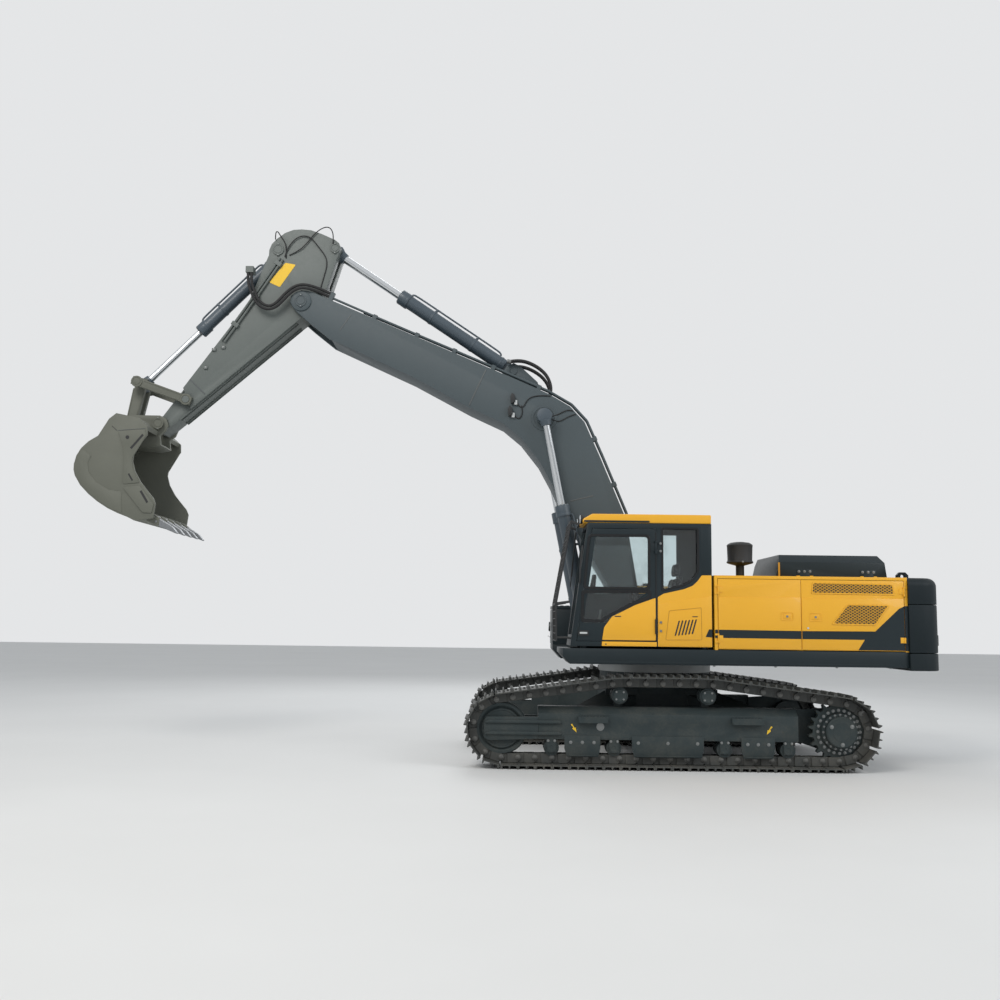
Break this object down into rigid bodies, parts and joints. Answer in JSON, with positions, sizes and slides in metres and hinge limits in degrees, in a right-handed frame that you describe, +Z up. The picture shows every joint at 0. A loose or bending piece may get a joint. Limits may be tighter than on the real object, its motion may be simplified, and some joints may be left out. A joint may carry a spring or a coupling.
{
  "type": "crawler excavator",
  "caption": "Crawler excavator with a slewing upper body, side cab, two-piece digging front, hydraulic cylinders and a toothed bucket.",
  "frame": {"origin": "on the ground, under the axis about which the upper body swings", "axes": "+X forward towards the bucket, +Y to the left, the cab's side, +Z up"},
  "size_m": [11.783, 3.34, 7.549],
  "materials": {
    "black_trim": "matt",
    "bright_steel": "worn bright",
    "bucket_steel": "worn",
    "cast_weight": "painted",
    "chrome_rod": "polished",
    "cylinder_paint": "satin",
    "glass": "clear",
    "seat_cloth": "woven",
    "slate_paint": "satin",
    "track_steel": "worn, dusty",
    "yellow_panel": "satin"
  },
  "bodies": {
    "undercarriage": {"centre_frame": "slate_paint", "track_frames": "slate_paint", "track_left": "track_steel", "track_right": "track_steel", "idlers": "track_steel", "sprockets": "track_steel", "track_rollers": "track_steel", "carrier_rollers": "track_steel", "slew_ring": "bright_steel"},
    "upper": {"main_frame": "slate_paint", "counterweight": "cast_weight", "engine_block": "cast_weight", "engine_body": "yellow_panel", "hood_sill": "slate_paint", "hydraulic_tank": "yellow_panel", "fuel_tank": "yellow_panel", "tool_box": "slate_paint", "air_precleaner": "black_trim", "exhaust_pipe": "bright_steel", "cab_shell": "slate_paint", "cab_roof": "yellow_panel", "cab_glass": "glass", "seat_base": "black_trim", "seat": "seat_cloth", "cab_consoles": "black_trim", "windscreen_guard": "black_trim", "frame_pins": "bright_steel"},
    "cab_door": {"cab_door": "slate_paint", "cab_door_glass": "glass"},
    "side_door_front": {"side_door_front": "yellow_panel"},
    "side_door_rear": {"side_door_rear": "yellow_panel"},
    "pump_door": {"pump_door": "yellow_panel"},
    "hood_lid": {"hood_lid": "slate_paint"},
    "tool_box_lid": {"tool_box_lid": "slate_paint"},
    "boom": {"boom": "slate_paint", "boom_pins": "bright_steel", "boom_pipes": "slate_paint", "arm_hoses": "black_trim"},
    "arm": {"arm": "slate_paint", "arm_pins": "bright_steel", "arm_pipes": "slate_paint"},
    "bucket": {"bucket": "bucket_steel", "bucket_pins": "bright_steel", "bucket_teeth": "bright_steel"},
    "boom_barrels": {"boom_cylinder_barrels": "cylinder_paint"},
    "boom_rods": {"boom_cylinder_rods": "chrome_rod"},
    "arm_barrel": {"arm_cylinder_barrel": "cylinder_paint"},
    "arm_rod": {"arm_cylinder_rod": "chrome_rod"},
    "bucket_barrel": {"bucket_cylinder_barrel": "cylinder_paint"},
    "bucket_rod": {"bucket_cylinder_rod": "chrome_rod"},
    "guide_links": {"guide_links": "bucket_steel"},
    "push_link": {"push_link": "bucket_steel"}
  },
  "joints": [
    {"name": "swing", "type": "hinge", "parent": "undercarriage", "child": "upper", "pos_m": [0, 0, 1.314], "axis": [0, 0, 1], "continuous": true},
    {"name": "boom_lift", "type": "hinge", "parent": "upper", "child": "boom", "pos_m": [0.33, 0, 2.07], "axis": [0, -1, 0], "range_deg": [-80, 16.5]},
    {"name": "arm_swing", "type": "hinge", "parent": "boom", "child": "arm", "pos_m": [5.156, 0, 6.436], "axis": [0, -1, 0], "range_deg": [-70, 50], "deforming": ["arm_hoses"]},
    {"name": "bucket_curl", "type": "hinge", "parent": "arm", "child": "bucket", "pos_m": [7.153, 0, 4.608], "axis": [0, -1, 0], "range_deg": [-95, 80]},
    {"name": "boom_cylinder_tilt", "type": "hinge", "parent": "upper", "child": "boom_barrels", "pos_m": [0.96, 0, 1.49], "axis": [0, -1, 0], "range_deg": [-80.5, 17]},
    {"name": "boom_cylinder_stroke", "type": "slide", "parent": "boom_barrels", "child": "boom_rods", "axis": [0.1954, 0, 0.9807], "range_m": [-1.0382, 0.2181]},
    {"name": "arm_cylinder_tilt", "type": "hinge", "parent": "boom", "child": "arm_barrel", "pos_m": [2.05, 0, 5.49], "axis": [0, -1, 0], "range_deg": [-4.7, 3.5]},
    {"name": "arm_cylinder_stroke", "type": "slide", "parent": "arm_barrel", "child": "arm_rod", "axis": [0.8308, 0, 0.5565], "range_m": [-0.6813, 0.9518]},
    {"name": "bucket_cylinder_tilt", "type": "hinge", "parent": "arm", "child": "bucket_barrel", "pos_m": [5.533, 0, 7.232], "axis": [0, -1, 0], "range_deg": [-5.25, 4.5]},
    {"name": "bucket_cylinder_stroke", "type": "slide", "parent": "bucket_barrel", "child": "bucket_rod", "axis": [0.6983, 0, -0.7158], "range_m": [-0.4727, 0.5605]},
    {"name": "guide_link_swing", "type": "hinge", "parent": "arm", "child": "guide_links", "pos_m": [6.772, 0, 4.968], "axis": [0, -1, 0], "range_deg": [-48, 40.5]},
    {"name": "push_link_swing", "type": "hinge", "parent": "guide_links", "child": "push_link", "pos_m": [7.492, 0, 5.224], "axis": [0, -1, 0], "range_deg": [-26.1, 30.9]},
    {"name": "cab_door_hinge", "type": "hinge", "parent": "upper", "child": "cab_door", "pos_m": [0.178, 1.456, 2.3], "axis": [0, 0, -1], "range_deg": [-165, 0]},
    {"name": "side_door_front_hinge", "type": "hinge", "parent": "upper", "child": "side_door_front", "pos_m": [-0.628, 1.461, 2], "axis": [0, 0, -1], "range_deg": [0, 100]},
    {"name": "side_door_rear_hinge", "type": "hinge", "parent": "upper", "child": "side_door_rear", "pos_m": [-3.0437, 1.461, 2], "axis": [0, 0, 1], "range_deg": [0, 110]},
    {"name": "pump_door_hinge", "type": "hinge", "parent": "upper", "child": "pump_door", "pos_m": [-3.0437, -1.461, 2], "axis": [0, 0, -1], "range_deg": [0, 110]},
    {"name": "hood_lid_hinge", "type": "hinge", "parent": "upper", "child": "hood_lid", "pos_m": [-2.345, 0.916, 2.5], "axis": [-1, 0, 0], "range_deg": [0, 75]},
    {"name": "tool_box_lid_hinge", "type": "hinge", "parent": "upper", "child": "tool_box_lid", "pos_m": [0.576, -1.03, 2.103], "axis": [0, -1, 0], "range_deg": [0, 80]}
  ],
  "couplings": [
    {"joint": "boom_cylinder_tilt", "follows": "boom_lift", "ratio": 1},
    {"joint": "boom_cylinder_stroke", "follows": "boom_lift", "m_per_rad": 0.74},
    {"joint": "arm_cylinder_tilt", "follows": "arm_swing", "ratio": 0.06},
    {"joint": "arm_cylinder_stroke", "follows": "arm_swing", "m_per_rad": -0.775},
    {"joint": "bucket_cylinder_tilt", "follows": "bucket_curl", "ratio": 0.05},
    {"joint": "bucket_cylinder_stroke", "follows": "bucket_curl", "m_per_rad": -0.335},
    {"joint": "guide_link_swing", "follows": "bucket_curl", "ratio": 0.5},
    {"joint": "push_link_swing", "follows": "bucket_curl", "ratio": -0.32}
  ]
}
